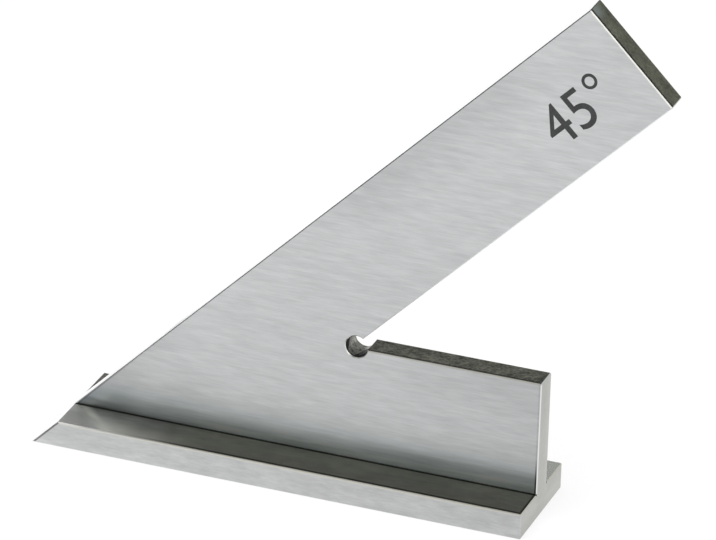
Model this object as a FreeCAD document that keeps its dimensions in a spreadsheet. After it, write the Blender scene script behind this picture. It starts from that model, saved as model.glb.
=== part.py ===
# A 45 degree acute angle square with a back, leg lengths 150 x 100 mm.
#
# A ground flat steel blade, shaped like a leaning V, has its lower leg let into a
# groove in a steel back bar, so that the two make an upside-down T. Countersunk
# socket screws come up through the bar into the edge of the blade and pull it
# down, and two dowel pins keep it true. Nothing on the tool moves.
#
# Frame: millimetres, +Z up, origin at the centre of the bar's underside. +X runs
# along the bar, away from its sharp tip. The blade stands in the XZ plane.
import FreeCAD, Part
import math
import os

import Sketcher

# The driving dimensions, in millimetres and degrees, with what each one measures.
SIZES = [
    ("bar_length", 100, "back bar, from the sharp tip to the square end"),
    ("bar_width", 23.3, "back bar, across"),
    ("bar_thickness", 5.3, "back bar, from the underside to the top faces"),
    ("bar_break", 0.15, "broken edges of the bar"),
    ("seat_depth", 2, "groove in the bar that the blade sits in"),
    ("seat_relief", 0.4, "bevel along both lips of that groove"),
    ("blade_thickness", 5.6, "ground plate that the blade is made of"),
    ("arm_angle", 45, "between the arm's outer edge and the underside"),
    ("arm_length", 150, "outer edge of the arm, from the sharp tip"),
    ("arm_width", 23.5, "arm, from its outer to its inner edge"),
    ("foot_height", 28.6, "from the underside to the top edge of the lower leg"),
    ("blade_break", 0.2, "broken edges of the blade"),
    ("relief_radius", 2.2, "clearance hole in the inner corner"),
    ("relief_offset", 1.05, "from the inner corner to that hole's centre"),
    ("screw_count", 4, "countersunk screws, evenly spaced"),
    ("screw_first", 18, "from the sharp tip to the first screw"),
    ("screw_last", 12, "from the last screw to the square end"),
    ("screw_sink", 0.2, "screw heads, below the underside"),
    ("screw_length", 10, "screw, over its head"),
    ("head_diameter", 6, "screw head, across"),
    ("head_rim", 0.15, "straight rim of the head, outside its cone"),
    ("thread_diameter", 3, "screw thread"),
    ("thread_bevel", 0.4, "bevel at the end of the thread"),
    ("key_flats", 2, "hexagon socket, across flats"),
    ("key_depth", 1.1, "hexagon socket, deep"),
    ("clearance_diameter", 3.4, "clearance hole for a screw, through the bar"),
    ("tapping_margin", 1, "tapped hole, past the end of the screw"),
    ("pin_diameter", 3, "dowel pin"),
    ("pin_length", 8, "dowel pin"),
    ("pin_bevel", 0.35, "bevelled ends of a dowel pin"),
    ("pin_sink", 0.4, "dowel pins, below the underside"),
    ("pin_margin", 0.6, "pin hole, past the end of the pin"),
    ("drill_angle", 118, "point angle of the drill for the blind holes"),
]
PINS = ("dowel_pin_1", "dowel_pin_2")
# Places this near each other are one place.
SAME = 1e-6
# The radius of the ring of corners that a loop is first drawn as.
ROUGH = 10.0

# Places as formulas over the sheet. One pin stands half way between the first two
# screws, and the other half way between the last two.
TIP_X = "-sizes.bar_length / 2"
END_X = "sizes.bar_length / 2"
HALF_PLATE = "sizes.blade_thickness / 2"
SEAT_Z = "(sizes.bar_thickness - sizes.seat_depth)"
SCREW_X = "(sizes.screw_first - sizes.bar_length / 2)"
SCREW_SPAN = "(sizes.bar_length - sizes.screw_first - sizes.screw_last)"
SCREW_STEP = f"({SCREW_SPAN} / (sizes.screw_count - 1))"
PIN_X = f"({SCREW_X} + {SCREW_STEP} / 2)"
PIN_SPAN = f"({SCREW_SPAN} - {SCREW_STEP})"
THREAD_RADIUS = "sizes.thread_diameter / 2"
PIN_RADIUS = "sizes.pin_diameter / 2"

doc = FreeCAD.newDocument("acute_angle_square")
sheet = doc.addObject("Spreadsheet::Sheet", "sizes")
for row, (alias, number, meaning) in enumerate(SIZES, start=1):
    sheet.set(f"A{row}", alias)
    sheet.set(f"B{row}", str(number))
    sheet.set(f"C{row}", meaning)
    sheet.setAlias(f"B{row}", alias)
doc.recompute()
size = {alias: sheet.get(alias) for alias, number, meaning in SIZES}


def slope_x(height):
    """Where the arm's outer edge is at a height: it starts at the sharp tip."""
    return f"{TIP_X} + ({height}) / tan(sizes.arm_angle)"


def new_body(name):
    """An empty body whose label names the piece and its file."""
    body = doc.addObject("PartDesign::Body", name)
    body.Label = name
    return body


def new_sketch(body, name, plane, shift=None):
    """A sketch on one of the body's own planes, moved along the plane's first axis."""
    sketch = body.newObject("Sketcher::SketchObject", f"{body.Name}_{name}")
    planes = {feature.Role: feature for feature in body.Origin.OriginFeatures}
    sketch.AttachmentSupport = (planes[plane], [""])
    sketch.MapMode = "FlatFace"
    if shift:
        sketch.setExpression("AttachmentOffset.Base.x", shift)
    return sketch


def draw_loop(sketch, places):
    """Joins the places by a closed loop of lines."""
    count = len(places)
    for i, place in enumerate(places):
        sketch.addGeometry(Part.LineSegment(place, places[(i + 1) % count]))
    for i in range(count):
        sketch.addConstraint(Sketcher.Constraint("Coincident", i, 2, (i + 1) % count, 1))


def dimension(sketch, name, formula, drawn, kind, *where):
    """A named dimension, first as drawn, that then follows a formula over the sheet."""
    index = sketch.addConstraint(Sketcher.Constraint(kind, *where, drawn))
    sketch.renameConstraint(index, name)
    sketch.setExpression(f"Constraints.{name}", formula)


def place_point(sketch, name, geometry, end, x, y):
    """Ties one point to the sketch's origin. A coordinate of "0" puts it on an axis."""
    drawn = sketch.getPoint(geometry, end)
    for letter, formula, axis, start in (("X", x, -2, drawn.x), ("Y", y, -1, drawn.y)):
        if formula == "0":
            sketch.addConstraint(Sketcher.Constraint("PointOnObject", geometry, end, axis))
        else:
            dimension(sketch, f"{name}_{letter}", formula, start, f"Distance{letter}", -1, 1, geometry, end)


def fixed_loop(body, name, plane, corners, shift=None):
    """A sketch of one closed loop. Its corners are pairs of formulas.

    It is drawn as a rough ring of corners, and the dimensions then pull each to its place.
    """
    sketch = new_sketch(body, name, plane, shift)
    turns = [math.tau * i / len(corners) for i in range(len(corners))]
    draw_loop(sketch, [FreeCAD.Vector(ROUGH * math.cos(turn), ROUGH * math.sin(turn), 0) for turn in turns])
    for i, (x, y) in enumerate(corners):
        place_point(sketch, f"corner{i}", i, 1, x, y)
    return sketch


def pad_both_ways(body, name, sketch, thickness):
    """A plate as thick as a formula says, half of it on each side of the sketch."""
    pad = body.newObject("PartDesign::Pad", f"{body.Name}_{name}")
    pad.Profile = sketch
    pad.Midplane = True
    pad.setExpression("Length", thickness)
    doc.recompute()
    return pad


def cut_through(body, name, sketch):
    """A cut by the sketch, right through the body both ways."""
    cut = body.newObject("PartDesign::Pocket", f"{body.Name}_{name}")
    cut.Profile = sketch
    cut.Type = "ThroughAll"
    cut.Midplane = True
    doc.recompute()
    return cut


def turn(body, name, kind, sketch):
    """A full turn of the sketch about its own upright axis: a Revolution or a Groove."""
    turned = body.newObject(f"PartDesign::{kind}", f"{body.Name}_{name}")
    turned.Profile = sketch
    turned.ReferenceAxis = (sketch, ["V_Axis"])
    turned.Angle = 360
    doc.recompute()
    return turned


def repeat_along_bar(body, name, feature, sketch, span, count):
    """Copies of a feature along the sketch's first axis, the last one a span away."""
    row_of = body.newObject("PartDesign::LinearPattern", f"{body.Name}_{name}")
    row_of.Originals = [feature]
    row_of.Direction = (sketch, ["H_Axis"])
    row_of.setExpression("Length", span)
    row_of.setExpression("Occurrences", count)
    body.Tip = row_of
    doc.recompute()
    return row_of


def break_edges(body, name, feature, width, wanted):
    """A small chamfer along each of the feature's edges that the test picks."""
    edges = [f"Edge{i}" for i, edge in enumerate(feature.Shape.Edges, start=1) if wanted(edge)]
    chamfer = body.newObject("PartDesign::Chamfer", f"{body.Name}_{name}")
    chamfer.Base = (feature, edges)
    chamfer.setExpression("Size", width)
    doc.recompute()
    return chamfer


def runs_across(edge):
    """Whether an edge is a straight one that lies along Y."""
    straight = isinstance(edge.Curve, Part.Line)
    return straight and abs(edge.tangentAt(edge.FirstParameter).y) > 0.999


def blind_hole(radius, top):
    """Half the outline of a hole drilled up into the blade from its lower edge."""
    point = f"({radius}) / tan(sizes.drill_angle / 2)"
    return [("0", SEAT_Z), (radius, SEAT_Z), (radius, top), ("0", f"{top} + {point}")]


def make_bar():
    """The back bar: one end slopes with the arm, and the blade's groove runs along it."""
    bar = new_body("back_bar")
    top = "sizes.bar_thickness"
    side = fixed_loop(bar, "side", "XZ_Plane", [
        (TIP_X, "0"), (END_X, "0"), (END_X, top), (slope_x(top), top),
    ])
    blank = pad_both_ways(bar, "blank", side, "sizes.bar_width")

    def is_blunt(edge):
        """Every edge but the two across the sloping end, which are left sharp."""
        return not runs_across(edge) or edge.CenterOfMass.x > 0

    break_edges(bar, "breaks", blank, "sizes.bar_break", is_blunt)
    lip = f"({HALF_PLATE} + 2 * sizes.seat_relief)"
    over = "(sizes.bar_thickness + sizes.seat_relief)"
    under = "(sizes.bar_thickness - sizes.seat_relief)"
    groove = fixed_loop(bar, "seat_outline", "YZ_Plane", [
        (f"-{HALF_PLATE}", SEAT_Z), (HALF_PLATE, SEAT_Z), (HALF_PLATE, under),
        (lip, over), (f"-{lip}", over), (f"-{HALF_PLATE}", under),
    ])
    cut_through(bar, "seat", groove)
    mouth = "(sizes.head_diameter / 2 + sizes.head_rim + sizes.screw_sink)"
    bore = "sizes.clearance_diameter / 2"
    sink = fixed_loop(bar, "screw_outline", "XZ_Plane", [
        ("0", "0"), (mouth, "0"), (bore, f"{mouth} - {bore}"), (bore, SEAT_Z), ("0", SEAT_Z),
    ], SCREW_X)
    hole = turn(bar, "screw_hole", "Groove", sink)
    repeat_along_bar(bar, "screw_holes", hole, sink, SCREW_SPAN, "sizes.screw_count")
    bore_side = fixed_loop(bar, "pin_outline", "XZ_Plane", [
        ("0", "0"), (PIN_RADIUS, "0"), (PIN_RADIUS, SEAT_Z), ("0", SEAT_Z),
    ], PIN_X)
    hole = turn(bar, "pin_hole", "Groove", bore_side)
    repeat_along_bar(bar, "pin_holes", hole, bore_side, PIN_SPAN, str(len(PINS)))
    return bar


def draw_blade(blade):
    """The blade above the bar, dimensioned from the sharp tip as on a drawing."""
    top, height, width = "sizes.bar_thickness", "sizes.foot_height", "sizes.arm_width"
    lean = math.radians(size["arm_angle"])
    along = FreeCAD.Vector(math.cos(lean), math.sin(lean), 0)
    across = FreeCAD.Vector(math.sin(lean), -math.cos(lean), 0)
    tip_place = FreeCAD.Vector(-size["bar_length"] / 2, 0, 0)
    end_place = FreeCAD.Vector(size["bar_length"] / 2, 0, 0)
    upward = FreeCAD.Vector(0, 1, 0)
    arm_top = tip_place + along * size["arm_length"]
    to_corner = (size["foot_height"] + size["arm_width"] * math.cos(lean)) / math.sin(lean)
    sketch = new_sketch(blade, "outline", "XZ_Plane")
    draw_loop(sketch, [
        tip_place + along * (size["bar_thickness"] / math.sin(lean)),
        end_place + upward * size["bar_thickness"],
        end_place + upward * size["foot_height"],
        tip_place + across * size["arm_width"] + along * to_corner,
        arm_top + across * size["arm_width"],
        arm_top,
    ])
    bottom, end, ledge, inner, arm_end, outer = range(6)
    tip = sketch.addGeometry(Part.Point(tip_place), True)
    place_point(sketch, "tip", tip, 1, TIP_X, "0")
    place_point(sketch, "foot", bottom, 2, END_X, top)
    for line in (bottom, ledge):
        sketch.addConstraint(Sketcher.Constraint("Horizontal", line))
    sketch.addConstraint(Sketcher.Constraint("Vertical", end))
    sketch.addConstraint(Sketcher.Constraint("Parallel", inner, outer))
    sketch.addConstraint(Sketcher.Constraint("Perpendicular", arm_end, outer))
    sketch.addConstraint(Sketcher.Constraint("PointOnObject", tip, 1, outer))
    dimension(sketch, "arm_angle", "sizes.arm_angle", lean, "Angle", bottom, 1, outer, 2)
    dimension(sketch, "arm_length", "sizes.arm_length", size["arm_length"], "Distance", tip, 1, arm_end, 2)
    dimension(sketch, "arm_width", width, size["arm_width"], "Distance", arm_end)
    dimension(sketch, "foot_height", height, size["foot_height"], "DistanceY", -1, 1, ledge, 1)
    return sketch


def make_blade():
    """The blade: the leaning V, its clearance hole, and the tongue that fills the seat."""
    blade = new_body("blade")
    top, height, width = "sizes.bar_thickness", "sizes.foot_height", "sizes.arm_width"
    pad_both_ways(blade, "plate", draw_blade(blade), "sizes.blade_thickness")
    corner_x = f"{TIP_X} + ({width} + {height} * cos(sizes.arm_angle)) / sin(sizes.arm_angle)"
    hole = new_sketch(blade, "relief_outline", "XZ_Plane")
    hole.addGeometry(Part.Circle(FreeCAD.Vector(), FreeCAD.Vector(0, 0, 1), size["relief_radius"]))
    dimension(hole, "radius", "sizes.relief_radius", size["relief_radius"], "Radius", 0)
    place_point(
        hole, "centre", 0, 3,
        f"{corner_x} + sizes.relief_offset * cos(sizes.arm_angle / 2)",
        f"{height} + sizes.relief_offset * sin(sizes.arm_angle / 2)",
    )
    relieved = cut_through(blade, "relief", hole)
    centre = hole.getPoint(0, 3)

    def shows(edge):
        """The outline's edges and square corners, but not the joint with the bar."""
        middle = edge.CenterOfMass
        in_joint = abs(middle.z - size["bar_thickness"]) < SAME
        reach = math.hypot(middle.x - centre.x, middle.z - centre.y)
        at_relief = reach < size["relief_radius"] + SAME
        return not in_joint and not (runs_across(edge) and at_relief)

    break_edges(blade, "breaks", relieved, "sizes.blade_break", shows)
    tongue = fixed_loop(blade, "tongue_outline", "XZ_Plane", [
        (slope_x(SEAT_Z), SEAT_Z), (END_X, SEAT_Z), (END_X, top), (slope_x(top), top),
    ])
    pad_both_ways(blade, "tongue", tongue, "sizes.blade_thickness")
    thread_top = "(sizes.screw_sink + sizes.screw_length + sizes.tapping_margin)"
    drilled = fixed_loop(blade, "tapped_outline", "XZ_Plane", blind_hole(THREAD_RADIUS, thread_top), SCREW_X)
    tapped = turn(blade, "tapped_hole", "Groove", drilled)
    repeat_along_bar(blade, "tapped_holes", tapped, drilled, SCREW_SPAN, "sizes.screw_count")
    pin_top = "(sizes.pin_sink + sizes.pin_length + sizes.pin_margin)"
    reamed = fixed_loop(blade, "pin_outline", "XZ_Plane", blind_hole(PIN_RADIUS, pin_top), PIN_X)
    pin_hole = turn(blade, "pin_hole", "Groove", reamed)
    repeat_along_bar(blade, "pin_holes", pin_hole, reamed, PIN_SPAN, f"{len(PINS)}")
    return blade


def make_screw(number):
    """One countersunk socket screw, head down, its head just below the underside."""
    screw = new_body(f"screw_{number}")
    head, rim, length = "sizes.head_diameter / 2", "sizes.head_rim", "sizes.screw_length"
    bevel = "sizes.thread_bevel"
    half = fixed_loop(screw, "outline", "XZ_Plane", [
        ("0", "0"),
        (head, "0"),
        (head, rim),
        (THREAD_RADIUS, f"{rim} + {head} - {THREAD_RADIUS}"),
        (THREAD_RADIUS, f"{length} - {bevel}"),
        (f"{THREAD_RADIUS} - {bevel}", length),
        ("0", length),
    ])
    turn(screw, "shank", "Revolution", half)
    corner = "sizes.key_flats / sqrt(3)"
    key = fixed_loop(screw, "key_outline", "XY_Plane", [
        (f"{corner} * cos({angle})", f"{corner} * sin({angle})") for angle in range(30, 390, 60)
    ])
    socket = screw.newObject("PartDesign::Pocket", f"{screw.Name}_key")
    socket.Profile = key
    socket.Reversed = True
    socket.setExpression("Length", "sizes.key_depth")
    screw.setExpression("Placement.Base.x", f"{SCREW_X} + {number - 1} * {SCREW_STEP}")
    screw.setExpression("Placement.Base.z", "sizes.screw_sink")
    return screw


def make_pin(number, name):
    """One dowel pin, upright, through the bar and up into the blade."""
    pin = new_body(name)
    bevel, length = "sizes.pin_bevel", "sizes.pin_length"
    half = fixed_loop(pin, "outline", "XZ_Plane", [
        ("0", "0"),
        (f"{PIN_RADIUS} - {bevel}", "0"),
        (PIN_RADIUS, bevel),
        (PIN_RADIUS, f"{length} - {bevel}"),
        (f"{PIN_RADIUS} - {bevel}", length),
        ("0", length),
    ])
    turn(pin, "shank", "Revolution", half)
    pin.setExpression("Placement.Base.x", f"{PIN_X} + {number} * {PIN_SPAN} / {len(PINS) - 1}")
    pin.setExpression("Placement.Base.z", "sizes.pin_sink")
    return pin


pieces = [make_bar(), make_blade()]
for number in range(1, size["screw_count"] + 1):
    pieces.append(make_screw(number))
for number, name in enumerate(PINS):
    pieces.append(make_pin(number, name))
doc.recompute()

for item in doc.Objects:
    if {"Invalid", "Error"} & set(item.State):
        raise RuntimeError(f"{item.Label} failed: {item.State}")
os.makedirs("parts", exist_ok=True)
for piece in pieces:
    if piece.Shape.isNull() or not piece.Shape.isValid():
        raise RuntimeError(f"{piece.Label} has no valid shape")
    piece.Shape.exportStep(f"parts/{piece.Label}.step")
    print(piece.Label, "volume", round(piece.Shape.Volume, 1), "mm3")
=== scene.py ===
import math

import bpy
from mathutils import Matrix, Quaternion, Vector


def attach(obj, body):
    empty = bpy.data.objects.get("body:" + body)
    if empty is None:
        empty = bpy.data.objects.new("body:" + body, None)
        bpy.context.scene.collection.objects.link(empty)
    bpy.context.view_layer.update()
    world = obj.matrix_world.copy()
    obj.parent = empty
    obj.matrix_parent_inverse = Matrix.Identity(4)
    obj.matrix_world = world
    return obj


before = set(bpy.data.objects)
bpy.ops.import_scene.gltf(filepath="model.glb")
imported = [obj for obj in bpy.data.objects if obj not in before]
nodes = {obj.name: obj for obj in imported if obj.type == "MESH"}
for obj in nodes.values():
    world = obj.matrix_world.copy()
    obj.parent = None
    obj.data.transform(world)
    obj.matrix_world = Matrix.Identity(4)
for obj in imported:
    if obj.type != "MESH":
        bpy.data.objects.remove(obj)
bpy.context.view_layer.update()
scene = bpy.context.scene
MM = 0.001
print("pieces from the CAD model:", ", ".join(sorted(nodes)))

# %% [markdown]
# Measuring the solids
#
# The finishes below change at real edges: where the bar's top is, where the inner corner
# is. Those places are measured from the solids, or worked out from their sizes, so that a
# finish stays on its face.
# %% Places on the tool


def reach(node):
    """The low and the high corner of a solid, in metres."""
    corners = [node.matrix_world @ vertex.co for vertex in node.data.vertices]
    low = Vector([min(corner[axis] for corner in corners) for axis in range(3)])
    high = Vector([max(corner[axis] for corner in corners) for axis in range(3)])
    return low, high


bar_low, bar_high = reach(nodes["back_bar"])
_, blade_high = reach(nodes["blade"])
LEAN = math.radians(45)
ARM_WIDTH = 23.5 * MM
FOOT_TOP = 28.6 * MM
HOLE_RADIUS = 2.2 * MM
HOLE_OFFSET = 1.05 * MM
BREAK = 0.2 * MM
HALF_PLATE = blade_high.y
BAR_TOP = bar_high.z
BAR_FRONT = bar_low.y
along_arm = Vector((math.cos(LEAN), 0, math.sin(LEAN)))
up_from_arm = Vector((-math.sin(LEAN), 0, math.cos(LEAN)))
corner_x = bar_low.x + (ARM_WIDTH + FOOT_TOP * math.cos(LEAN)) / math.sin(LEAN)
inner_corner = Vector((corner_x, 0, FOOT_TOP))
hole_middle = inner_corner + Vector((math.cos(LEAN / 2), 0, math.sin(LEAN / 2))) * HOLE_OFFSET
print("bar top at", round(BAR_TOP / MM, 2), "mm, blade", round(2 * HALF_PLATE / MM, 2), "mm thick")
print("inner corner at", [round(v / MM, 2) for v in inner_corner], "mm")

# %% [markdown]
# The camera
#
# A tool photographed for a catalogue is shot from far away with a long lens, so that its
# edges stay nearly parallel. A camera is easiest to place as a photographer thinks of it:
# what it aims at, from which side and height, how far off, and how much it is rolled.
# Blender's camera looks along its own -Z with +Y up, and to_track_quat gives that turn.
# %% Camera
AIM = Vector((11.617, -0.014, 43.679)) * MM
AZIMUTH = math.radians(20.08)
ELEVATION = math.radians(25.54)
ROLL = math.radians(1.775)
DISTANCE = 1.203
LENS_MM = 320.6


def direction(azimuth, elevation):
    """The unit vector towards a place that is seen at an azimuth and a height, from -Y round to +X."""
    flat = math.cos(elevation)
    return Vector((math.sin(azimuth) * flat, -math.cos(azimuth) * flat, math.sin(elevation)))


towards_camera = direction(AZIMUTH, ELEVATION)
bpy.ops.object.camera_add(location=AIM + towards_camera * DISTANCE)
camera = bpy.context.object
camera.name = "camera"
camera.rotation_mode = "QUATERNION"
camera.rotation_quaternion = (-towards_camera).to_track_quat("-Z", "Y") @ Quaternion((0, 0, 1), ROLL)
camera.data.lens = LENS_MM
camera.data.sensor_width = 36
camera.data.clip_start = 0.05
camera.data.clip_end = 50
scene.camera = camera
scene.view_settings.view_transform = "Standard"
print("camera at", [round(v, 3) for v in camera.location], "m, lens", LENS_MM, "mm")

# %% [markdown]
# Small helpers for node trees
#
# A material is a graph. Writing each node as three or four lines hides what it does, so
# one helper adds a node, sets its plain values and links its inputs. A value that is a
# socket is linked, and any other value is set on the socket itself.
# %% Node helpers


def add_node(tree, kind, inputs=None, **settings):
    """A node of a kind, with its settings, and its inputs set or linked by name or number."""
    node = tree.nodes.new(kind)
    for name, value in settings.items():
        setattr(node, name, value)
    for name, value in (inputs or {}).items():
        if isinstance(value, bpy.types.NodeSocket):
            tree.links.new(value, node.inputs[name])
        else:
            node.inputs[name].default_value = value
    return node


def maths(tree, operation, first, second=0.0, third=0.0, clamp=False):
    """A Math node's result."""
    inputs = {0: first, 1: second, 2: third}
    return add_node(tree, "ShaderNodeMath", inputs, operation=operation, use_clamp=clamp).outputs[0]


def step_between(tree, value, low, high, from_value=0.0, to_value=1.0):
    """A smooth change from one value to another, while the input goes from low to high."""
    inputs = {"Value": value, "From Min": low, "From Max": high, "To Min": from_value, "To Max": to_value}
    return add_node(tree, "ShaderNodeMapRange", inputs, interpolation_type="SMOOTHSTEP").outputs["Result"]


def mix_colours(tree, factor, first, second):
    """A blend of two colours."""
    node = add_node(tree, "ShaderNodeMix", data_type="RGBA")
    for socket, value in ((node.inputs[0], factor), (node.inputs[6], first), (node.inputs[7], second)):
        if isinstance(value, bpy.types.NodeSocket):
            tree.links.new(value, socket)
        else:
            socket.default_value = value
    return node.outputs[2]


def any_of(tree, sockets):
    """One where any of some masks is one."""
    found = sockets[0]
    for socket in sockets[1:]:
        found = maths(tree, "MAXIMUM", found, socket)
    return found


def both(tree, first, second):
    """One where two masks are both one."""
    return maths(tree, "MULTIPLY", first, second)


def grey(level):
    """A neutral colour."""
    return (level, level, level, 1.0)


# %% [markdown]
# The floor
#
# The tool lies on white paper that runs out of the picture. Pure white paper would need
# so much light that the steel burns out, so the paper gets part of its white from an
# emission that only the camera sees. The rest is a plain diffuse surface, which keeps the
# soft shadow round the tool. The steel mirrors the paper too: it is a little grey beside
# the tool and whiter further out, and that is what shades the blade from its foot to its
# tip. Behind the tool's left end and off its right end it is whole white: the lapped edge
# vanishes in it, and the broken edges shine. Seen from below the paper is let through, so
# that the underside can be looked at.
# %% Floor
FLOOR_SIZE = 40.0
FLOOR_DROP = 0.02 * MM
PAPER = (0.90, 0.90, 0.90, 1.0)
BACKING_NEAR, BACKING_FAR = 0.78, 1.0
NEAR, FAR = 0.25, 1.5
# The paper as the steel mirrors it: dullest in front of the bar's square end.
DULL_SPOT = (0.043, -0.049, 0.0)
DULL_LEVEL, CLEAR_LEVEL, WHITE_LEVEL = 0.35, 0.972, 1.04
DULL_REACH = 0.278
DULL_CURVE = 0.2
# Where it is whole white: left of the tip and behind the bar's front, and off the right end in front.
LEFT_FADE, BEHIND_FADE = (-0.048, -0.040), (-0.016, -0.012)
RIGHT_FADE, FRONT_FADE = (0.056, 0.064), (0.0, 0.012)

bpy.ops.mesh.primitive_plane_add(size=FLOOR_SIZE, location=(0, 0, -FLOOR_DROP))
floor = bpy.context.object
floor.name = "floor"

paper = bpy.data.materials.new("paper")
paper.use_nodes = True
tree = paper.node_tree
tree.nodes.clear()
place = add_node(tree, "ShaderNodeTexCoord").outputs["Object"]
away = add_node(tree, "ShaderNodeVectorMath", {0: place}, operation="LENGTH").outputs["Value"]
backing = step_between(tree, away, NEAR, FAR, BACKING_NEAR, BACKING_FAR)
rays = add_node(tree, "ShaderNodeLightPath").outputs
seen = any_of(tree, [rays["Is Camera Ray"], rays["Is Transmission Ray"]])
diffuse = add_node(tree, "ShaderNodeBsdfDiffuse", {"Color": PAPER}).outputs[0]
white = add_node(tree, "ShaderNodeEmission", {"Color": grey(1.0), "Strength": 1.0}).outputs[0]
lit = add_node(tree, "ShaderNodeMixShader", {0: both(tree, seen, backing), 1: diffuse, 2: white})

from_spot = add_node(tree, "ShaderNodeVectorMath", {0: place, 1: DULL_SPOT}, operation="DISTANCE")
share = maths(tree, "DIVIDE", from_spot.outputs["Value"], DULL_REACH, clamp=True)
share = maths(tree, "POWER", share, DULL_CURVE)
level = maths(tree, "MULTIPLY_ADD", share, CLEAR_LEVEL - DULL_LEVEL, DULL_LEVEL)
x, y, _ = add_node(tree, "ShaderNodeSeparateXYZ", {0: place}).outputs
leftward = step_between(tree, x, *LEFT_FADE, 1.0, 0.0)
left_behind = both(tree, leftward, step_between(tree, y, *BEHIND_FADE))
off_right = both(tree, step_between(tree, x, *RIGHT_FADE), step_between(tree, y, *FRONT_FADE, 1.0, 0.0))
whole_white = any_of(tree, [left_behind, off_right])
level = maths(tree, "MULTIPLY_ADD", whole_white, maths(tree, "SUBTRACT", WHITE_LEVEL, level), level)
mirrored = add_node(tree, "ShaderNodeEmission", {"Color": grey(1.0), "Strength": level}).outputs[0]
above = add_node(tree, "ShaderNodeMixShader", {0: rays["Is Glossy Ray"], 1: lit.outputs[0], 2: mirrored})

under = add_node(tree, "ShaderNodeNewGeometry").outputs["Backfacing"]
clear = add_node(tree, "ShaderNodeBsdfTransparent").outputs[0]
sheet = add_node(tree, "ShaderNodeMixShader", {0: under, 1: above.outputs[0], 2: clear})
add_node(tree, "ShaderNodeOutputMaterial", {"Surface": sheet.outputs[0]})
floor.data.materials.append(paper)
print("floor:", FLOOR_SIZE, "m square, whole white from", FAR, "m out")

# %% [markdown]
# The studio that the steel mirrors
#
# Bare steel has hardly a colour of its own. It shows what stands around it, so the world
# is painted as the room that a photographer builds: pale near the floor, dim higher up,
# dark above the camera with a cool wall under it, a warm box overhead, and more boxes at
# the right and low behind the tool. Each of these is a patch of sky, made from the angle
# between a ray and the patch's middle. The camera itself sees plain white, and matt
# surfaces get an even light, so the patches only show in the metal.
# %% World
world = bpy.data.worlds.new("studio")
scene.world = world
world.use_nodes = True
tree = world.node_tree
tree.nodes.clear()
ray = add_node(tree, "ShaderNodeTexCoord").outputs["Generated"]
height = add_node(tree, "ShaderNodeSeparateXYZ", {0: ray}).outputs["Z"]

LOW_WALL = (0.78, 0.81, 0.82, 1.0)
COOL_LOW = (0.66, 0.75, 0.79, 1.0)
HIGH_WALL = (0.42, 0.445, 0.425, 1.0)
DARK_FRONT = (0.124, 0.13, 0.111, 1.0)
DARK_SIDE = (0.10, 0.10, 0.11, 1.0)
OVERHEAD = (1.05, 1.0, 0.86, 1.0)
RIGHT_BOX = (1.80, 1.78, 1.62, 1.0)
BACK_LIGHT = (3.0, 3.0, 3.0, 1.0)


def patch(colour_so_far, azimuth, elevation, inner, outer, colour):
    """Lays a round patch of a colour over the sky so far: solid inside inner, gone at outer degrees."""
    middle = direction(math.radians(azimuth), math.radians(elevation))
    facing = add_node(tree, "ShaderNodeVectorMath", {0: ray, 1: middle}, operation="DOT_PRODUCT")
    near, far = math.cos(math.radians(inner)), math.cos(math.radians(outer))
    cover = step_between(tree, facing.outputs["Value"], far, near)
    return mix_colours(tree, cover, colour_so_far, colour)


sky = mix_colours(tree, step_between(tree, height, 0.0, 0.35), LOW_WALL, HIGH_WALL)
sky = patch(sky, -20, 4, 16, 32, COOL_LOW)
sky = patch(sky, -20, 38, 24, 40, DARK_FRONT)
sky = patch(sky, -36, 62, 6, 13, OVERHEAD)
sky = patch(sky, -85, 13, 12, 28, DARK_SIDE)
sky = patch(sky, 52, 33, 12, 22, RIGHT_BOX)
sky = patch(sky, -153, 0, 10, 20, BACK_LIGHT)
rays = add_node(tree, "ShaderNodeLightPath").outputs
mirrored = add_node(tree, "ShaderNodeBackground", {"Color": sky, "Strength": 1.0}).outputs[0]
EVEN_LIGHT = 0.75
even = add_node(tree, "ShaderNodeBackground", {"Color": grey(1.0), "Strength": EVEN_LIGHT}).outputs[0]
plain = add_node(tree, "ShaderNodeBackground", {"Color": grey(1.0), "Strength": 1.0}).outputs[0]
room = add_node(tree, "ShaderNodeMixShader", {0: rays["Is Glossy Ray"], 1: even, 2: mirrored})
room = add_node(tree, "ShaderNodeMixShader", {0: rays["Is Camera Ray"], 1: room.outputs[0], 2: plain})
add_node(tree, "ShaderNodeOutputWorld", {"Surface": room.outputs[0]})
print("world: pale low wall, dim high wall, cool and dark front, dark side, three soft boxes")

# %% [markdown]
# Three cards
#
# The bar's top is dark in the picture because it mirrors the blade, which in turn mirrors
# the dark front of the studio. The first stretch beside the tip is paler and fades to the
# right: a small white card stands off to its left, with a grey one beside it. A black one
# behind the tip darkens the bit of the bar's top that shows past the blade. The cards only
# show in mirror-like reflections: the camera, the shadows and the matt paper don't know
# them.
# %% Cards


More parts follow.
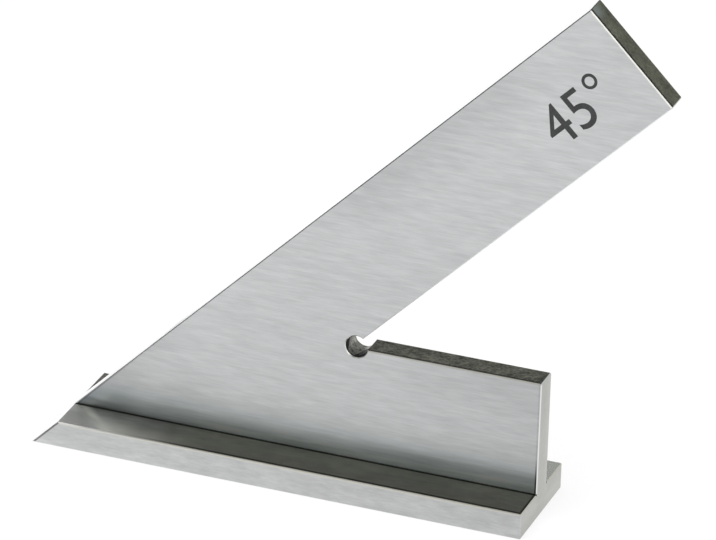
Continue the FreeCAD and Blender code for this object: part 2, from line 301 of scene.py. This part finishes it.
def stand_card(name, low, high, level):
    """An upright card in an XZ plane, given by two corners in millimetres and how pale it is."""
    low, high = Vector(low) * MM, Vector(high) * MM
    bpy.ops.object.select_all(action="DESELECT")
    bpy.ops.mesh.primitive_plane_add(size=1, location=(low + high) / 2, rotation=(math.radians(90), 0, 0))
    card = bpy.context.object
    card.name = name
    card.scale = (high.x - low.x, high.z - low.z, 1)
    bpy.ops.object.transform_apply(location=True, rotation=True, scale=True)
    card.visible_camera = False
    card.visible_diffuse = False
    card.visible_shadow = False
    card.visible_transmission = False
    surface = bpy.data.materials.new(name)
    surface.use_nodes = True
    tree = surface.node_tree
    tree.nodes.clear()
    glow = add_node(tree, "ShaderNodeEmission", {"Color": grey(level), "Strength": 1.0}).outputs[0]
    add_node(tree, "ShaderNodeOutputMaterial", {"Surface": glow})
    card.data.materials.append(surface)
    print(name, "stands", round(abs(low.y) / MM), "mm from the blade's middle plane")


stand_card("card_white", (-100, -20, 15), (-46, -20, 40), 1.9)
stand_card("card_grey", (-46, -20, 15), (-33, -20, 40), 0.57)
stand_card("card_black", (-60, 32, 14), (-44, 32, 23), 0.02)

# %% [markdown]
# Lamps
#
# Two large soft boxes give the paper its shading: one high on the left, one at the right
# of the camera. A large lamp near the tool gives a shadow with no hard edge.
# %% Lamps


def soft_box(name, azimuth, elevation, distance, size, power):
    """A square area lamp that faces the tool."""
    towards = direction(math.radians(azimuth), math.radians(elevation))
    bpy.ops.object.light_add(type="AREA", location=AIM + towards * distance)
    lamp = bpy.context.object
    lamp.name = name
    lamp.rotation_mode = "QUATERNION"
    lamp.rotation_quaternion = (-towards).to_track_quat("-Z", "Y")
    lamp.data.shape = "SQUARE"
    lamp.data.size = size
    lamp.data.energy = power
    lamp.visible_glossy = False
    print(f"{name}: {size} m wide, {power} W, {distance} m away")


soft_box("lamp_high", -20, 70, 1.2, 0.9, 9.0)
soft_box("lamp_right", 60, 35, 1.2, 0.7, 3.0)

# %% [markdown]
# Grinding marks
#
# A grinding wheel leaves thousands of fine parallel scratches. Noise that is squeezed in
# one direction looks like that: the coordinates are divided by the mark's length along
# the wheel's path and by its width across it. Three sizes of mark are added, because real
# grinding has fine lines inside broader bands, and faint clouds where the wheel dwelt.
# The group gives a shade that is 0.5 in the middle, and each steel uses it in its own
# strength.
# %% Grinding group


def noise(tree, place, cell, detail):
    """Noise whose cells have a size along each axis, given as a vector."""
    scaled = add_node(tree, "ShaderNodeVectorMath", {0: place, 1: cell}, operation="DIVIDE").outputs[0]
    inputs = {"Vector": scaled, "Scale": 1.0, "Detail": detail, "Roughness": 0.6}
    return add_node(tree, "ShaderNodeTexNoise", inputs).outputs[0]


def new_group(name, inputs, outputs):
    """An empty node group with named inputs, each with its default, and named outputs."""
    group = bpy.data.node_groups.new(name, "ShaderNodeTree")
    for label, kind, default in inputs:
        socket = group.interface.new_socket(label, in_out="INPUT", socket_type=kind)
        if default is not None:
            socket.default_value = default
    for label, kind in outputs:
        group.interface.new_socket(label, in_out="OUTPUT", socket_type=kind)
    return group, group.nodes.new("NodeGroupInput").outputs, group.nodes.new("NodeGroupOutput").inputs


def long_cell(tree, length, width):
    """A cell that is long along X and equally wide along Y and Z."""
    return add_node(tree, "ShaderNodeCombineXYZ", {0: length, 1: width, 2: width}).outputs[0]


VECTOR, NUMBER = "NodeSocketVector", "NodeSocketFloat"
grinding, given, wanted = new_group(
    "grinding",
    [("Place", VECTOR, None), ("Length", NUMBER, 5 * MM), ("Width", NUMBER, 0.18 * MM)],
    [("Shade", NUMBER), ("Clouds", NUMBER)],
)
fine = noise(grinding, given["Place"], long_cell(grinding, given["Length"], given["Width"]), 4.0)
broad_length = maths(grinding, "MULTIPLY", given["Length"], 2.5)
broad_width = maths(grinding, "MULTIPLY", given["Width"], 5.0)
broad = noise(grinding, given["Place"], long_cell(grinding, broad_length, broad_width), 3.0)
cloud_width = maths(grinding, "MULTIPLY", given["Length"], 0.5)
clouds = noise(grinding, given["Place"], long_cell(grinding, broad_length, cloud_width), 3.0)
lines = maths(grinding, "MULTIPLY_ADD", maths(grinding, "SUBTRACT", broad, 0.5), 1.2, fine)
grinding.links.new(lines, wanted["Shade"])
grinding.links.new(clouds, wanted["Clouds"])
print("group grinding:", [item.name for item in grinding.interface.items_tree])

# %% [markdown]
# Milled faces
#
# An end mill leaves a mottled face with short arcs and torn spots, and no long lines. Two
# sizes of noise with nearly round cells do for it at this distance.
# %% Milling group
milling, given, wanted = new_group(
    "milling",
    [("Place", VECTOR, None), ("Size", NUMBER, 0.5 * MM)],
    [("Shade", NUMBER), ("Height", NUMBER)],
)
spot_length = maths(milling, "MULTIPLY", given["Size"], 1.4)
spots = noise(milling, given["Place"], long_cell(milling, spot_length, given["Size"]), 3.0)
blotch_size = maths(milling, "MULTIPLY", given["Size"], 7.0)
blotches = noise(milling, given["Place"], long_cell(milling, blotch_size, blotch_size), 2.0)
mottle = maths(milling, "MULTIPLY_ADD", maths(milling, "SUBTRACT", blotches, 0.5), 0.6, spots)
milling.links.new(mottle, wanted["Shade"])
milling.links.new(spots, wanted["Height"])
print("group milling:", [item.name for item in milling.interface.items_tree])

# %% [markdown]
# Which face is which
#
# One solid has several finishes: ground flanks, a milled ledge and arm end, a drilled
# hole. A mask tells them apart by the way a face points, or by how far a place is from an
# edge or an axis, so no face has to be picked by hand. The dot product of the face's own
# direction and a wanted direction is one where they agree.
# %% Masks


def points_at(tree, normal, wanted_direction, spread=8.0):
    """One on faces that point within spread degrees of a direction, else nought."""
    wanted_direction = Vector(wanted_direction).normalized()
    dot = add_node(tree, "ShaderNodeVectorMath", {0: normal, 1: wanted_direction}, operation="DOT_PRODUCT")
    return maths(tree, "GREATER_THAN", dot.outputs["Value"], math.cos(math.radians(spread)))


def below(tree, value, edge, softness):
    """One where a value is under an edge, fading to nought over a softness round it."""
    return step_between(tree, value, edge - softness, edge + softness, 1.0, 0.0)


def above(tree, value, edge, softness):
    """One where a value is over an edge, fading to nought over a softness round it."""
    return step_between(tree, value, edge - softness, edge + softness)


def split(tree, vector):
    """The three coordinates of a vector."""
    return add_node(tree, "ShaderNodeSeparateXYZ", {0: vector}).outputs


# %% [markdown]
# Ground steel
#
# Steel is metallic, with a pale neutral base colour. Grinding blurs its reflections across
# the marks and hardly along them, which the Anisotropic value does. The tangent tells the
# shader which way the marks run: turning about X gives a direction across them on the
# flanks and on the top alike.
# %% Steel
STEEL = (0.70, 0.707, 0.712, 1.0)
# Painted shade: the bar's top is painted dark.
TOP_PAINTED_SHADE = (0.33, 0.312, 0.283)
END_STEEL = (0.575, 0.575, 0.545)
BAR_STEEL = (0.675, 0.68, 0.68)


def new_steel(name, base, roughness, anisotropy):
    """A metallic material with its tree, its shader, the place and the face's direction."""
    material = bpy.data.materials.new(name)
    material.use_nodes = True
    tree = material.node_tree
    tree.nodes.clear()
    tangent = add_node(tree, "ShaderNodeTangent", direction_type="RADIAL", axis="X").outputs[0]
    inputs = {"Base Color": base, "Metallic": 1.0, "Roughness": roughness, "Anisotropic": anisotropy}
    shader = add_node(tree, "ShaderNodeBsdfPrincipled", {**inputs, "Tangent": tangent})
    add_node(tree, "ShaderNodeOutputMaterial", {"Surface": shader.outputs[0]})
    coordinates = add_node(tree, "ShaderNodeTexCoord").outputs
    return material, tree, shader, coordinates["Object"], coordinates["Normal"]


def shade_by(tree, colour, amount, strength):
    """A colour made lighter and darker by a shade that is 0.5 in the middle."""
    inputs = {"Value": amount, "From Min": 0.25, "From Max": 0.75}
    inputs = {**inputs, "To Min": 1.0 - strength, "To Max": 1.0 + strength}
    factor = add_node(tree, "ShaderNodeMapRange", inputs, clamp=False).outputs["Result"]
    return add_node(tree, "ShaderNodeVectorMath", {0: colour, "Scale": factor}, operation="SCALE").outputs[0]


def marked(tree, place, colour, fine, cloudy, length=5 * MM, width=0.18 * MM):
    """A colour with grinding marks along X."""
    marks = add_node(tree, "ShaderNodeGroup", node_tree=grinding)
    tree.links.new(place, marks.inputs["Place"])
    marks.inputs["Length"].default_value = length
    marks.inputs["Width"].default_value = width
    colour = shade_by(tree, colour, marks.outputs["Shade"], fine)
    return shade_by(tree, colour, marks.outputs["Clouds"], cloudy)


def darkened(tree, colour, share):
    """A colour with a share of its light taken away."""
    return mix_colours(tree, share, colour, grey(0.0))


def dress(node_names, material):
    """Gives some CAD pieces their material."""
    for name in node_names:
        nodes[name].data.materials.clear()
        nodes[name].data.materials.append(material)
    print(material.name, "on", ", ".join(node_names))


# %% [markdown]
# The blade's ground flanks
#
# The flanks are finely ground. Shade is painted on them: the arm is painted a little darker
# in a band beside its outer edge, near its end and by the tip, and so is the lower leg under
# its ledge. Each of these is a mask over the place on the blade, and takes a share of the
# colour's light away. The ones on the arm read the place in the arm's own directions.
# %% Blade flanks
OUTER_EDGE = -bar_low.x * math.sin(LEAN)


def along_the_arm(tree, place):
    """The place in coordinates that run along the arm, through it and up from it."""
    axes = []
    for axis in (along_arm, (0, 1, 0), up_from_arm):
        dot = add_node(tree, "ShaderNodeVectorMath", {0: place, 1: axis}, operation="DOT_PRODUCT")
        axes.append(dot.outputs["Value"])
    return add_node(tree, "ShaderNodeCombineXYZ", {0: axes[0], 1: axes[1], 2: axes[2]}).outputs[0]


material, tree, shader, place, normal = new_steel("blade_steel", STEEL, 0.30, 0.7)
x, y, z = split(tree, place)
along, _, out = split(tree, along_the_arm(tree, place))
flank = any_of(tree, [points_at(tree, normal, (0, side, 0)) for side in (-1, 1)])
colour = marked(tree, place, STEEL[:3], 0.065, 0.055, 3.0 * MM, 0.18 * MM)

# Painted shade: darker places on the flanks, standing for darker parts of the room that they mirror.
begins = step_between(tree, along, 38 * MM, 56 * MM)
ends = step_between(tree, along, 88 * MM, 104 * MM, 1.0, 0.0)
edge_band = step_between(tree, out, OUTER_EDGE - 11 * MM, OUTER_EDGE - 1 * MM)
edge_band = both(tree, edge_band, both(tree, begins, ends))
arm_end = step_between(tree, along, 92 * MM, 108 * MM)
by_tip = step_between(tree, along, -12 * MM, 5 * MM, 1.0, 0.0)
at_tip = step_between(tree, along, -20 * MM, -10 * MM, 1.0, 0.0)
by_ledge = both(tree, step_between(tree, z, 18 * MM, 26 * MM), step_between(tree, x, 15 * MM, 35 * MM))
by_ledge = both(tree, by_ledge, below(tree, z, FOOT_TOP, 0.1 * MM))
painted_shades = [(edge_band, 0.115), (arm_end, 0.04), (by_tip, 0.09), (at_tip, 0.14), (by_ledge, 0.06)]
for mask, share in painted_shades:
    colour = darkened(tree, colour, maths(tree, "MULTIPLY", mask, share))
print("blade flanks: ground, with", len(painted_shades), "duller places")

# %% [markdown]
# The blade's foot
#
# Just over the bar the blade mirrors the bar's dark top, and that reflection is painted: the
# steel there is painted bluer and brighter than elsewhere, most of all to the right of the
# tip. Three painted shades lie over that strip: low down by the tip, close over the bar as
# far as a third of its length, and a thin dark line some three millimetres up, which grows
# stronger to the right.
# %% Blade foot
# Painted reflection and painted shade on the strip just over the bar.
FOOT_PAINTED_REFLECTION = (0.91, 0.985, 1.0)
FOOT_TIP_PAINTED_REFLECTION = (0.48, 0.54, 0.57, 1.0)
STRIP_LOW, STRIP_HIGH = BAR_TOP + 1.6 * MM, BAR_TOP + 7.4 * MM

foot = marked(tree, place, FOOT_PAINTED_REFLECTION, 0.14, 0.10, 9 * MM, 0.5 * MM)
foot = mix_colours(tree, step_between(tree, x, -42 * MM, -21 * MM), FOOT_TIP_PAINTED_REFLECTION, foot)
sunk = maths(tree, "SUBTRACT", z, step_between(tree, x, -42.5 * MM, -37 * MM, 0.5 * MM, 0.0))
low = step_between(tree, sunk, BAR_TOP + 1.1 * MM, BAR_TOP + 2.1 * MM, 1.0, 0.0)
low = both(tree, low, step_between(tree, x, -42 * MM, -26 * MM, 0.46, 0.0))
close = below(tree, z, BAR_TOP + 0.7 * MM, 0.4 * MM)
close = both(tree, close, step_between(tree, x, -22 * MM, -12 * MM, 0.25, 0.0))
thin = above(tree, z, BAR_TOP + 2.1 * MM, 0.7 * MM)
thin = both(tree, thin, below(tree, z, BAR_TOP + 3.7 * MM, 1.0 * MM))
thin = both(tree, thin, step_between(tree, x, -5 * MM, 28 * MM, 0.0, 0.27))
for share in (low, close, thin):
    foot = darkened(tree, foot, share)
strip = step_between(tree, z, STRIP_LOW, STRIP_HIGH, 1.0, 0.0)
colour = mix_colours(tree, both(tree, flank, strip), colour, foot)
print("foot: from", round(STRIP_LOW / MM, 1), "mm up it fades out to", round(STRIP_HIGH / MM, 1), "mm")

# %% [markdown]
# The blade's ends and ledge
#
# The lower leg's end is ground, with painted shade towards its top. The ledge and the arm's
# end are milled, and painted darker as shade. A painted dark line of shade runs along their
# front edge, whose border is shifted to and fro by the same noise that mottles the face.
# The arm's end has a painted highlight at its upper corner in front.
# %% Blade ends and ledge
# Painted shade: the milled ledge and arm end are painted much darker than the steel.
MILLED_LEDGE_SHADE = (0.142, 0.139, 0.113)
MILLED_END_SHADE = (0.205, 0.205, 0.162)
CORNER_PAINTED_HIGHLIGHT = (0.35, 0.38, 0.37, 1.0)
EDGE_LINE = 0.62 * MM
EDGE_FADE = 0.12 * MM
EDGE_PAINTED_SHADE = 0.9
EDGE_JAG = 0.8 * MM


def mottled(tree, place, colour, strength, size):
    """A colour with the mottle of a milled face, and the height of its marks."""
    marks = add_node(tree, "ShaderNodeGroup", node_tree=milling)
    tree.links.new(place, marks.inputs["Place"])
    marks.inputs["Size"].default_value = size
    return shade_by(tree, colour, marks.outputs["Shade"], strength), marks.outputs["Height"]


end = points_at(tree, normal, (1, 0, 0))
end_face = marked(tree, place, END_STEEL, 0.05, 0.03)
# Painted shade: the lower leg's end is painted up to 9 percent darker towards its top.
end_face = darkened(tree, end_face, step_between(tree, z, 16 * MM, 25 * MM, 0.0, 0.09))
colour = mix_colours(tree, end, colour, end_face)

on_arm_end = both(tree, points_at(tree, normal, along_arm), above(tree, x, bar_high.x + 1 * MM, 0.1 * MM))
milled = any_of(tree, [points_at(tree, normal, (0, 0, 1)), on_arm_end])
ledge_colour, height = mottled(tree, place, MILLED_LEDGE_SHADE, 0.90, 0.45 * MM)
end_colour, height = mottled(tree, place, MILLED_END_SHADE, 0.40, 0.45 * MM)
# Painted highlight: the arm's end is paler at its upper corner in front.
corner_highlight = step_between(tree, z, blade_high.z - 2.4 * MM, blade_high.z - 0.4 * MM)
corner_highlight = both(tree, corner_highlight, below(tree, y, 0.3 * MM, 1.8 * MM))
end_colour = mix_colours(tree, corner_highlight, end_colour, CORNER_PAINTED_HIGHLIGHT)
milled_and_painted_colour = mix_colours(tree, on_arm_end, ledge_colour, end_colour)
# Painted shade: a dark line along the front edge of the milled faces, its border made jagged by noise.
jagged = maths(tree, "MULTIPLY_ADD", maths(tree, "SUBTRACT", height, 0.5), EDGE_JAG, y)
painted_front_shade = below(tree, jagged, -HALF_PLATE + BREAK + EDGE_LINE, EDGE_FADE)
painted_front_shade = maths(tree, "MULTIPLY", painted_front_shade, EDGE_PAINTED_SHADE)
milled_and_painted_colour = mix_colours(tree, painted_front_shade, milled_and_painted_colour, grey(0.02))
print("milled: the ledge and the arm's end, with a dark line of", round(EDGE_LINE / MM, 2), "mm in front")

# %% [markdown]
# The hole in the inner corner
#
# The hole is drilled, and dark at its mouth. That shade reaches deeper on two sides of the
# hole, where its wall turns away from the light. The mask takes in all that lies within
# the hole's radius of its axis, so it needs no face to be picked.
# %% Hole
DRILLED = (0.30, 0.295, 0.27)


def facing(tree, normal, wanted_direction, low, high):
    """Nought to one as the dot product of a face's direction and another goes from low to high."""
    dot = add_node(tree, "ShaderNodeVectorMath", {0: normal, 1: wanted_direction}, operation="DOT_PRODUCT")
    return step_between(tree, dot.outputs["Value"], low, high)


def near_axis(tree, place, middle, radius, softness):
    """One within a radius of an axis that runs along Y, as a drilled hole's does."""
    flat = add_node(tree, "ShaderNodeVectorMath", {0: place, 1: (1, 0, 1)}, operation="MULTIPLY").outputs[0]
    away = add_node(tree, "ShaderNodeVectorMath", {0: flat, 1: middle}, operation="DISTANCE")
    return below(tree, away.outputs["Value"], radius, softness)


drilled = near_axis(tree, place, hole_middle, HOLE_RADIUS + 0.03 * MM, 0.01 * MM)
drilled_colour, height = mottled(tree, place, DRILLED, 0.9, 0.4 * MM)
depth = y
for side, deeper in (((-0.75, 0, 0.66), 3.5 * MM), ((0.9, 0, -0.44), 1.7 * MM)):
    depth = maths(tree, "MULTIPLY_ADD", facing(tree, normal, side, 0.35, 0.95), -deeper, depth)
mouth = below(tree, depth, -HALF_PLATE + 0.45 * MM, 0.3 * MM)
drilled_colour = mix_colours(tree, mouth, drilled_colour, grey(0.012))
print("drilled: a hole of", round(HOLE_RADIUS / MM, 2), "mm radius")

# %% [markdown]
# The blade's edges
#
# The long outer edge is the one that measures, so it is lapped: smoother and paler. The
# broken edges catch the light, which is painted on them as a painted highlight. A painted
# dark line of shade sits where the blade enters the bar, up the lower leg's end and along
# the sloping edge by the tip. The finishes are laid over each other in turn, so the last one
# in the list lies on top.
# %% Blade edges
# Painted shade: dark lines along the seam over the bar, up the lower leg's end and along the tip's sloping
# edge.
PAINTED_SHADE_LINE = (0.07, 0.072, 0.06, 1.0)
# Painted highlights on the broken edges; the upright front one is painted dimmer.
EDGE_PAINTED_HIGHLIGHT = (0.93, 0.94, 0.94, 1.0)
DIM_EDGE_PAINTED_HIGHLIGHT = (0.78, 0.79, 0.78, 1.0)
SEAM_SHADE_HEIGHT = 0.11 * MM
LAPPED = (0.93, 0.935, 0.935)


def lapped_finish(tree, place):
    """A pale colour with faint marks that run along the sloping edge."""
    return marked(tree, along_the_arm(tree, place), LAPPED, 0.05, 0.04, 8 * MM, 0.3 * MM)


def tip_line(tree, place):
    """A painted dark line of shade along the sloping edge near the tip."""
    out = add_node(tree, "ShaderNodeVectorMath", {0: place, 1: up_from_arm}, operation="DOT_PRODUCT")
    edge = bar_low.x * up_from_arm.x - BREAK - 0.16 * MM
    height = add_node(tree, "ShaderNodeSeparateXYZ", {0: place}).outputs[2]
    fade = step_between(tree, height, 4 * MM, 22 * MM, 0.75, 0.0)
    return both(tree, above(tree, out.outputs["Value"], edge, 0.06 * MM), fade)


lapped = points_at(tree, normal, up_from_arm)
inner_break = points_at(tree, normal, -up_from_arm + Vector((0, -1, 0)))
front_break = points_at(tree, normal, (1, -1, 0))
lit_breaks = any_of(tree, [points_at(tree, normal, (1, 0, 1)), inner_break])
end_line = above(tree, x, bar_high.x - BREAK - 0.34 * MM, 0.06 * MM)
end_line = both(tree, end_line, below(tree, z, FOOT_TOP, 0.1 * MM))
end_line = both(tree, end_line, step_between(tree, z, BAR_TOP + 2 * MM, BAR_TOP + 8 * MM, 0.95, 0.15))
seam = below(tree, z, BAR_TOP + SEAM_SHADE_HEIGHT, 0.1 * MM)
shade_lines = both(tree, flank, any_of(tree, [seam, end_line, tip_line(tree, place)]))
finishes = [(lit_breaks, EDGE_PAINTED_HIGHLIGHT), (front_break, DIM_EDGE_PAINTED_HIGHLIGHT), (milled, milled_and_painted_colour)]
finishes += [(lapped, lapped_finish(tree, place)), (drilled, drilled_colour), (shade_lines, PAINTED_SHADE_LINE)]
for mask, finish in finishes:
    colour = mix_colours(tree, mask, colour, finish)
tree.links.new(colour, shader.inputs["Base Color"])
rough = maths(tree, "MULTIPLY_ADD", any_of(tree, [milled, drilled, shade_lines]), 0.15, 0.30)
rough = maths(tree, "MULTIPLY_ADD", lapped, -0.16, rough)
rough = maths(tree, "MULTIPLY_ADD", inner_break, 0.3, rough)
tree.links.new(rough, shader.inputs["Roughness"])
dress(["blade"], material)

# %% [markdown]
# The bar's sides
#
# The bar is ground like the blade, with a face a little rougher and darker, and painted
# shade makes it a few percent darker still by the tip. The front has a painted highlight,
# brighter and creamier, in a narrow rim under its top edge.
# %% Bar sides
RIM_HEIGHT = 0.42 * MM
RIM_PAINTED_HIGHLIGHT = (0.775, 0.765, 0.70, 1.0)

material, tree, shader, place, normal = new_steel("bar_steel", STEEL, 0.32, 0.6)
x, y, z = split(tree, place)
on_top = points_at(tree, normal, (0, 0, 1))
on_front = points_at(tree, normal, (0, -1, 0))
end = points_at(tree, normal, (1, 0, 0))
face = marked(tree, place, BAR_STEEL, 0.08, 0.05, 2.0 * MM, 0.35 * MM)
# Painted shade: the face is a few percent darker by the tip.
face = darkened(tree, face, step_between(tree, x, -46 * MM, -36 * MM, 0.065, 0.0))
face = mix_colours(tree, end, face, marked(tree, place, END_STEEL, 0.05, 0.03))
# Painted highlight: a bright, creamy rim under the front's top edge.
rim = both(tree, above(tree, z, BAR_TOP - RIM_HEIGHT, 0.08 * MM), on_front)
print("rim under the bar's top edge:", round(RIM_HEIGHT / MM, 2), "mm high")

# %% [markdown]
# The bar's top
#
# The top is smoother and mirrors the blade, and it is painted dark as painted shade for that
# reflection. Four places differ, each a painted reflection. Beside the tip it is paler as far
# as a slanting border, with a touch of painted shade. A bright streak follows that border
# near the blade. To the right of it lies a wedge, bright at the front and fading towards the
# blade and to the right, with some painted shade over it. Behind the blade, at the right
# end, the steel is paler again.
# %% Bar top
# Painted reflections on the bar's top, with painted shade in two places.
WEDGE_PAINTED_REFLECTION = (0.73, 0.70, 0.63, 1.0)
STREAK_PAINTED_REFLECTION = (0.74, 0.70, 0.61, 1.0)
TOP_TIP_PAINTED_REFLECTION = (0.575, 0.56, 0.56, 1.0)
REAR_PAINTED_REFLECTION = (0.57, 0.565, 0.54, 1.0)

top = marked(tree, place, TOP_PAINTED_SHADE, 0.12, 0.05, 2.0 * MM, 0.4 * MM)
behind = both(tree, step_between(tree, y, 0.0, 1 * MM), step_between(tree, x, 0.0, 30 * MM))
top = mix_colours(tree, behind, top, REAR_PAINTED_REFLECTION)
wedge = step_between(tree, y, -11.6 * MM, -5.4 * MM, 1.0, 0.0)
wedge = both(tree, wedge, step_between(tree, x, -36 * MM, -12 * MM, 1.0, 0.0))
top = mix_colours(tree, wedge, top, WEDGE_PAINTED_REFLECTION)
dim = step_between(tree, x, -33 * MM, -28 * MM)
dim = both(tree, dim, step_between(tree, x, -24 * MM, -19.5 * MM, 0.30, 0.0))
dim = both(tree, dim, step_between(tree, y, -11.5 * MM, -8.5 * MM, 0.35, 1.0))
top = darkened(tree, top, dim)
slant = maths(tree, "MULTIPLY_ADD", y, 0.93, x)
streak = step_between(tree, slant, -45.8 * MM, -43.3 * MM, 1.0, 0.0)
streak = both(tree, streak, step_between(tree, y, -9 * MM, -5.3 * MM))
top = mix_colours(tree, streak, top, STREAK_PAINTED_REFLECTION)
dim = step_between(tree, x, -44 * MM, -38 * MM, 0.2, 0.0)
dim = both(tree, dim, step_between(tree, y, -7.5 * MM, -4.5 * MM, 1.0, 0.0))
beside_tip = darkened(tree, TOP_TIP_PAINTED_REFLECTION, dim)
top = mix_colours(tree, below(tree, slant, -46.8 * MM, 0.7 * MM), top, beside_tip)
colour = mix_colours(tree, on_top, face, top)
print("the top's patch beside the tip, streak, wedge and rear are painted")

# %% [markdown]
# The bar's edges
#
# The top has a painted dark line of shade along its front and right edges and along the
# groove, and the groove holds the same painted line of shade as the blade's seam. The
# sloping end is lapped together with the blade's outer edge, and the broken edges have a
# pale, warm painted highlight, except by the tip.
# %% Bar edges
# Painted shade: dark lines along the top's front and right edges and beside the groove.
TOP_EDGE_PAINTED_SHADE = 0.82
# Painted highlight on the bar's broken edges.
CREAM_PAINTED_HIGHLIGHT = (0.95, 0.90, 0.78, 1.0)

edge = below(tree, y, BAR_FRONT + BREAK + EDGE_LINE, EDGE_FADE)
edge = both(tree, edge, step_between(tree, x, -34 * MM, -14 * MM))
right_edge = above(tree, x, bar_high.x - BREAK - 0.4 * MM, EDGE_FADE)
right_edge = both(tree, right_edge, below(tree, y, 0.0, 1 * MM))
from_blade = maths(tree, "ABSOLUTE", y)
by_groove = below(tree, from_blade, HALF_PLATE + 0.5 * MM, 0.1 * MM)
by_groove = both(tree, by_groove, step_between(tree, x, -42 * MM, -24 * MM, 0.3, 0.7))
edge = both(tree, on_top, any_of(tree, [edge, right_edge, by_groove]))
colour = mix_colours(tree, both(tree, edge, TOP_EDGE_PAINTED_SHADE), colour, grey(0.02))

groove = any_of(tree, [points_at(tree, normal, (0, side, 1), 20.0) for side in (-1, 1)])
groove = both(tree, groove, below(tree, from_blade, HALF_PLATE + 0.5 * MM, 0.01 * MM))
lapped = points_at(tree, normal, up_from_arm)
end_break = points_at(tree, normal, (1, 0, 1))
tip_break = both(tree, points_at(tree, normal, (0, -1, 1)), below(tree, x, -39 * MM, 2 * MM))
dark_tip = both(tree, on_front, tip_line(tree, place))
finishes = [(rim, RIM_PAINTED_HIGHLIGHT), (end_break, CREAM_PAINTED_HIGHLIGHT), (tip_break, TOP_TIP_PAINTED_REFLECTION)]
finishes += [(lapped, lapped_finish(tree, place)), (dark_tip, PAINTED_SHADE_LINE), (groove, PAINTED_SHADE_LINE)]
for mask, finish in finishes:
    colour = mix_colours(tree, mask, colour, finish)
tree.links.new(colour, shader.inputs["Base Color"])
rough = maths(tree, "MULTIPLY_ADD", on_top, -0.07, 0.32)
rough = maths(tree, "MULTIPLY_ADD", lapped, -0.18, rough)
tree.links.new(rough, shader.inputs["Roughness"])
dress(["back_bar"], material)

# %% [markdown]
# Screws and pins
#
# The fixings only show from below. The screws are machined and a little oily, and the
# pins are ground bright.
# %% Fixings
SCREW_STEEL = (0.42, 0.42, 0.42, 1.0)
PIN_STEEL = (0.56, 0.565, 0.56, 1.0)

material, tree, shader, place, normal = new_steel("screw_steel", SCREW_STEEL, 0.35, 0.3)
colour, height = mottled(tree, place, SCREW_STEEL[:3], 0.20, 0.3 * MM)
tree.links.new(colour, shader.inputs["Base Color"])
dress([name for name in sorted(nodes) if name.startswith("screw")], material)

material, tree, shader, place, normal = new_steel("pin_steel", PIN_STEEL, 0.25, 0.3)
colour = marked(tree, place, PIN_STEEL[:3], 0.06, 0.04, 0.8 * MM, 0.1 * MM)
tree.links.new(colour, shader.inputs["Base Color"])
dress([name for name in sorted(nodes) if name.startswith("dowel")], material)

# %% [markdown]
# The etched mark
#
# A square is marked with its angle. The letters are typed as a text object, made a mesh,
# and only then laid on the blade. Text lies flat and faces +Z: a quarter turn about X
# stands it up to face -Y, and a turn about Y leans its baseline along the arm. The mark
# ends as a thin dark film on the steel.
# %% Mark
MARK_MIDDLE = Vector((53.6, 0, 86.4)) * MM
LETTER_SIZE = 11.5 * MM
FILM = 0.012 * MM

bpy.ops.object.select_all(action="DESELECT")
bpy.ops.object.text_add(location=(0, 0, 0))
mark = bpy.context.object
mark.name = "mark_45"
mark.data.body = "45°"
mark.data.align_x = "CENTER"
mark.data.align_y = "CENTER"
mark.data.size = LETTER_SIZE
mark.data.extrude = FILM / 2
mark.data.resolution_u = 8
bpy.ops.object.convert(target="MESH")
mark = bpy.context.object
mark.rotation_euler = (math.radians(90), 0, 0)
bpy.ops.object.transform_apply(location=False, rotation=True, scale=False)
mark.rotation_euler = (0, -LEAN, 0)
bpy.ops.object.transform_apply(location=False, rotation=True, scale=False)
low, high = reach(mark)
mark.location = MARK_MIDDLE - (low + high) / 2
mark.location.y = -HALF_PLATE - FILM * 0.4
bpy.ops.object.transform_apply(location=True, rotation=False, scale=False)
bpy.ops.object.mode_set(mode="EDIT")
bpy.ops.mesh.select_all(action="SELECT")
bpy.ops.mesh.normals_make_consistent(inside=False)
bpy.ops.object.mode_set(mode="OBJECT")

etched = bpy.data.materials.new("etched_mark")
etched.use_nodes = True
tree = etched.node_tree
tree.nodes.clear()
place = add_node(tree, "ShaderNodeTexCoord").outputs["Object"]
colour, height = mottled(tree, place, (0.032, 0.034, 0.033), 0.35, 0.25 * MM)
inputs = {"Base Color": colour, "Roughness": 0.6}
shader = add_node(tree, "ShaderNodeBsdfPrincipled", inputs)
add_node(tree, "ShaderNodeOutputMaterial", {"Surface": shader.outputs[0]})
mark.data.materials.clear()
mark.data.materials.append(etched)
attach(mark, "root")
low, high = reach(mark)
print("mark:", [round(v / MM, 2) for v in low], "to", [round(v / MM, 2) for v in high], "mm,",
      len(mark.data.polygons), "faces")
